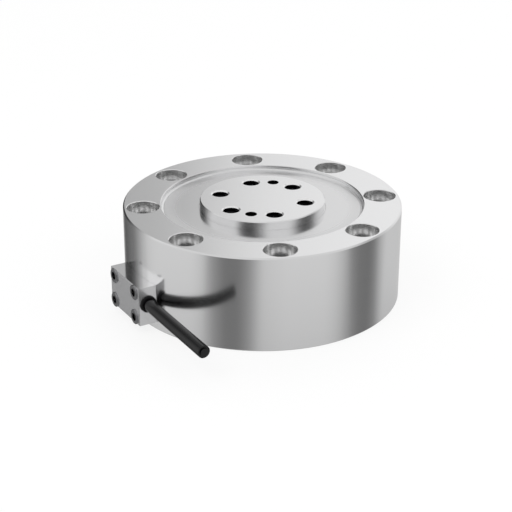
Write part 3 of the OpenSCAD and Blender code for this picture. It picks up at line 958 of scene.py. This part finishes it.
@dataclass
class ElasticBody:
    """Ring, webs, crossed beams and tool hub, machined from one blank."""

    finish: bpy.types.Material
    plate_finish: bpy.types.Material
    thread_finish: bpy.types.Material
    hub_top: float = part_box("sensor_body")[1].z
    hub_radius: float = 0.027
    foot_level: float = 0.0393
    foot_fillet: float = 0.0003
    pitch_radius: float = 0.01885
    taps: int = 6
    drill_radius: float = 0.0034
    # Depth of a tapped hole's mouth, above its thread
    mouth: float = 0.00075
    thread_depth: float = 0.0003
    thread_root: float = 0.00005
    thread_pitch: float = 0.00125
    thread_length: float = 0.009
    thread_steps: int = 24
    # Half a ridge's foot as a share of the pitch, and half its crest as a share of half the foot
    ridge_share: float = 0.42
    crest_share: float = 0.25
    thread_sharp_angle: float = 35.0

    def build(self) -> None:
        """Makes the body, its seal plate and the threads of the tapped holes."""
        blank = merged_copy("sensor_body")
        self.square_foot(blank)
        weigh_normals(add_piece("ring_and_hub", blank, self.finish, ["sensor_body"]))
        add_piece("seal_plate", merged_copy("top_seal_plate"), self.plate_finish,
                  ["top_seal_plate"])
        for hole in range(self.taps):
            self.thread(hole)

    def square_foot(self, bm: bmesh.types.BMesh) -> None:
        """Squares the small fillet at the foot of the hub.

        Args:
            bm: the body's mesh.
        """
        half = self.foot_fillet / 2
        foot = [v for v in bm.verts if abs(v.co.z - self.foot_level - half) < half + SLACK
                and -SLACK < math.hypot(v.co.x, v.co.y) - self.hub_radius < self.foot_fillet - SLACK]
        for v in foot:
            v.co.xy *= self.hub_radius / math.hypot(v.co.x, v.co.y)
            v.co.z = self.foot_level
        bmesh.ops.remove_doubles(bm, verts=foot, dist=WELD)
        sharpen(bm, SHARP_ANGLE)

    def thread(self, hole: int) -> None:
        """Spins the ridge of one tapped hole's thread.

        Args:
            hole: the hole's place around the hub.
        """
        turns = self.thread_length / self.thread_pitch - 1
        low = self.hub_top - self.mouth - self.thread_length
        wall, crest = self.drill_radius + self.thread_root, self.drill_radius - self.thread_depth
        half = self.thread_pitch * self.ridge_share
        flat = half * self.crest_share
        bm = bmesh.new()
        verts = [bm.verts.new((radius, 0.0, low + rise)) for radius, rise in (
            (wall, 0.0), (crest, half - flat), (crest, half + flat), (wall, 2 * half))]
        edges = [bm.edges.new(pair) for pair in zip(verts, verts[1:])]
        bmesh.ops.spin(bm, geom=verts + edges, cent=(0, 0, 0), axis=(0, 0, 1),
                       dvec=(0, 0, self.thread_pitch / self.thread_steps), angle=math.tau * turns,
                       steps=int(self.thread_steps * turns), use_merge=False)
        angle = math.tau * hole / self.taps
        centre = (self.pitch_radius * math.cos(angle), self.pitch_radius * math.sin(angle), 0)
        bmesh.ops.translate(bm, verts=bm.verts, vec=centre)
        sharpen(bm, self.thread_sharp_angle)
        add_piece(f"thread_{hole + 1}", bm, self.thread_finish)


@dataclass
class Group:
    """CAD solids that share a finish, joined and shaded smooth."""

    finish: bpy.types.Material
    slot: str
    nodes: Sequence[str]

    def build(self) -> None:
        """Makes one piece for each node."""
        for node in self.nodes:
            piece = add_piece(f"{node}_dressed", merged_copy(node), self.finish, [node])
            self.detail(piece)
            weigh_normals(piece)

    def detail(self, piece: bpy.types.Object) -> None:
        """Adds nothing to a plain piece; a kind of group may add its own."""


class Facing(Enum):
    """Way that a screw's head looks."""

    UP = (0.0, 0.0, 1.0)
    DOWN = (0.0, 0.0, -1.0)


@dataclass
class Screws(Group):
    """Socket head screws, with dark sockets."""

    socket_finish: bpy.types.Material
    facing: Facing
    socket_radius: float = 0.0012
    socket_depth: float = 0.002
    level_slack: float = 1e-9

    def detail(self, piece: bpy.types.Object) -> None:
        """Gives the sockets' walls and floors the dark finish.

        Args:
            piece: the screws; each screw is one loose part of it.
        """
        piece.data.materials.append(self.socket_finish)
        bm = bmesh.new()
        bm.from_mesh(piece.data)
        left = set(bm.faces)
        while left:
            screw, reach = set(), [next(iter(left))]
            while reach:
                face = reach.pop()
                if face not in screw:
                    screw.add(face)
                    reach.extend(f for edge in face.edges for f in edge.link_faces)
            left -= screw
            self.darken(screw)
        bm.to_mesh(piece.data)
        bm.free()

    def darken(self, screw: set[bmesh.types.BMFace]) -> None:
        """Marks the faces of one screw's socket.

        Args:
            screw: the faces of the whole screw.
        """
        way = Vector(self.facing.value)
        verts = {v for face in screw for v in face.verts}
        highest = max(v.co.dot(way) for v in verts)
        centre = sum((v.co for v in verts), Vector()) / len(verts)
        for face in screw:
            spot = face.calc_center_median()
            depth = highest - spot.dot(way)
            spot -= centre
            aside = spot - way * spot.dot(way)
            inward = face.normal.dot(aside) < self.level_slack
            if aside.length < self.socket_radius and SLACK < depth < self.socket_depth and inward:
                face.material_index = 1


@dataclass
class BoxScrews:
    """Socket head screws of the cable box, lofted ring by ring."""

    finish: bpy.types.Material
    socket_finish: bpy.types.Material
    face_x: float = 0.0666
    side: float = 0.0094
    middle: float = 0.0123
    rise: float = 0.0056
    segments: int = 48
    # Radii with heights over the seat
    shank: Pair = (0.0015, -0.012)
    head: Sequence[Pair] = ((0.0032, 0.0), (0.0032, 0.0004), (0.0030, 0.0006))
    socket: Pair = (0.0019, -0.0009)
    sharp_angle: float = 30.0

    def build(self) -> None:
        """Makes the four screws as one piece."""
        screw, bm = self.screw(), bmesh.new()
        turn = Matrix.Rotation(math.radians(BOX_TURN), 4, "Z")
        for side in (-self.side, self.side):
            for rise in (-self.rise, self.rise):
                seat = turn @ Matrix.Translation((self.face_x, side, self.middle + rise))
                made = len(bm.verts)
                bm.from_mesh(screw)
                bm.verts.ensure_lookup_table()
                bmesh.ops.transform(bm, matrix=seat @ Matrix.Rotation(math.radians(90), 4, "Y"),
                                    verts=bm.verts[made:])
        piece = add_piece("box_screws", bm, self.finish, ["cable_box_screws"])
        piece.data.materials.append(self.socket_finish)
        bpy.data.meshes.remove(screw)

    def screw(self) -> bpy.types.Mesh:
        """One screw, standing on its head's underside, with a dark socket.

        Returns:
            Its mesh.
        """
        width, tip = self.shank
        size, floor = self.socket
        top = self.head[-1][1]
        outside = [(width, tip), (width, 0.0), *self.head]
        bm = bmesh.new()
        last: list[bmesh.types.BMEdge] = []
        for radius, level in [*outside, (size, top), (size, floor)]:
            ring = bmesh.ops.create_circle(bm, segments=self.segments, radius=radius, cap_ends=False,
                                           matrix=Matrix.Translation((0, 0, level)))["verts"]
            edges = [bm.edges.get(pair) for pair in zip(ring, ring[1:] + ring[:1])]
            if radius == size:
                self.flatten(ring)
            if last:
                for face in bmesh.ops.bridge_loops(bm, edges=last + edges)["faces"]:
                    face.material_index = int(level == floor)
            else:
                bmesh.ops.edgeloop_fill(bm, edges=edges)
            last = edges
        for face in bmesh.ops.edgeloop_fill(bm, edges=last)["faces"]:
            face.material_index = 1
        bmesh.ops.recalc_face_normals(bm, faces=bm.faces)
        sharpen(bm, self.sharp_angle)
        made = bpy.data.meshes.new("box_screw")
        bm.to_mesh(made)
        bm.free()
        return made

    @staticmethod
    def flatten(ring: Sequence[bmesh.types.BMVert]) -> None:
        """Moves a circle's points in to the sides of its hexagon.

        Args:
            ring: the points.
        """
        side = math.pi / 3
        half = side / 2
        for vert in ring:
            turn = (math.atan2(vert.co.y, vert.co.x) + half) % side - half
            vert.co.xy *= math.cos(half) / math.cos(turn - math.copysign(half, turn))


def main() -> None:
    """Builds the studio, the cable and each sub-assembly."""
    logging.basicConfig(level=logging.INFO, format="%(message)s")
    Studio().build()
    jacket = Moulded("cable_jacket", (0.0025, 0.0025, 0.003), 0.19, grain=900.0, grain_height=0.00002,
                     shine=0.45).material()
    rubber = Moulded("seal_rubber", (0.004, 0.004, 0.0045), 0.5, grain=1800.0, shine=0.2).material()
    wires = Moulded("wire_insulation", (0.62, 0.14, 0.09), 0.4).material()
    filler = Moulded("cable_filler", (0.02, 0.02, 0.022), 0.7).material()
    FreeCable(jacket, filler).build()
    shade = TurnedSteel("socket_shade", (0.012, 0.012, 0.013), 0.5).material()
    steel = BodySteel("turned_steel").material()
    plate_steel = PlateSteel("seal_plate_steel", (0.82, 0.82, 0.825), 0.19, anisotropy=0.6).material()
    ElasticBody(steel, plate_steel, shade).build()
    box_steel = BoxSteel("box_steel", (0.79, 0.79, 0.80), metallic=0.85).material()
    cover_steel = TurnedSteel("cover_steel", (0.80, 0.80, 0.81), 0.22).material()
    screw_steel = MilledSteel("screw_steel", (0.55, 0.55, 0.56), 0.30).material()
    box_screw_steel = MilledSteel("box_screw_steel", (0.34, 0.34, 0.35), 0.30).material()
    BoxScrews(box_screw_steel, shade).build()
    Screws(screw_steel, "screw_steel", ["bottom_cover_screws"], shade, Facing.DOWN).build()
    Screws(screw_steel, "screw_steel", ["board_screws"], shade, Facing.UP).build()
    brass = MilledSteel("brass", (0.80, 0.62, 0.30), 0.28).material()
    board = Laminate("board_laminate", (0.03, 0.20, 0.10), 0.35).material()
    chips = Moulded("chip_plastic", (0.03, 0.03, 0.033), 0.5).material()
    ceramic = Moulded("capacitor_ceramic", (0.50, 0.37, 0.24), 0.45).material()
    nylon = Moulded("header_plastic", (0.80, 0.78, 0.70), 0.45).material()
    film = GaugeFilm("gauge_film", (0.80, 0.42, 0.10), 0.3).material()
    beams = (1, 2, 3, 4)
    for group in (
            Group(box_steel, "box_steel", ["cable_box"]),
            Group(cover_steel, "cover_steel", ["bottom_cover"]),
            Group(rubber, "seal_rubber", ["cable_sleeve", "bottom_sealing_ring"]),
            Group(jacket, "cable_jacket", ["cable_tail"]),
            Group(wires, "wire_insulation", ["core_bundle"] + [f"gauge_leads_{k}" for k in beams]),
            Group(rubber, "duct_plastic", ["duct_bush"]),
            Group(board, "board_laminate", ["circuit_board"]),
            Group(brass, "standoff_brass", ["board_standoffs"])):
        group.build()
    for node, finish in {"amplifier_chips": chips, "controller_chip": chips, "chip_capacitors": ceramic,
                         "cable_header": nylon, "cable_plug": nylon,
                         **{f"gauges_beam_{k}": film for k in beams}}.items():
        dress(node, finish)


if __name__ == "__main__":
    main()
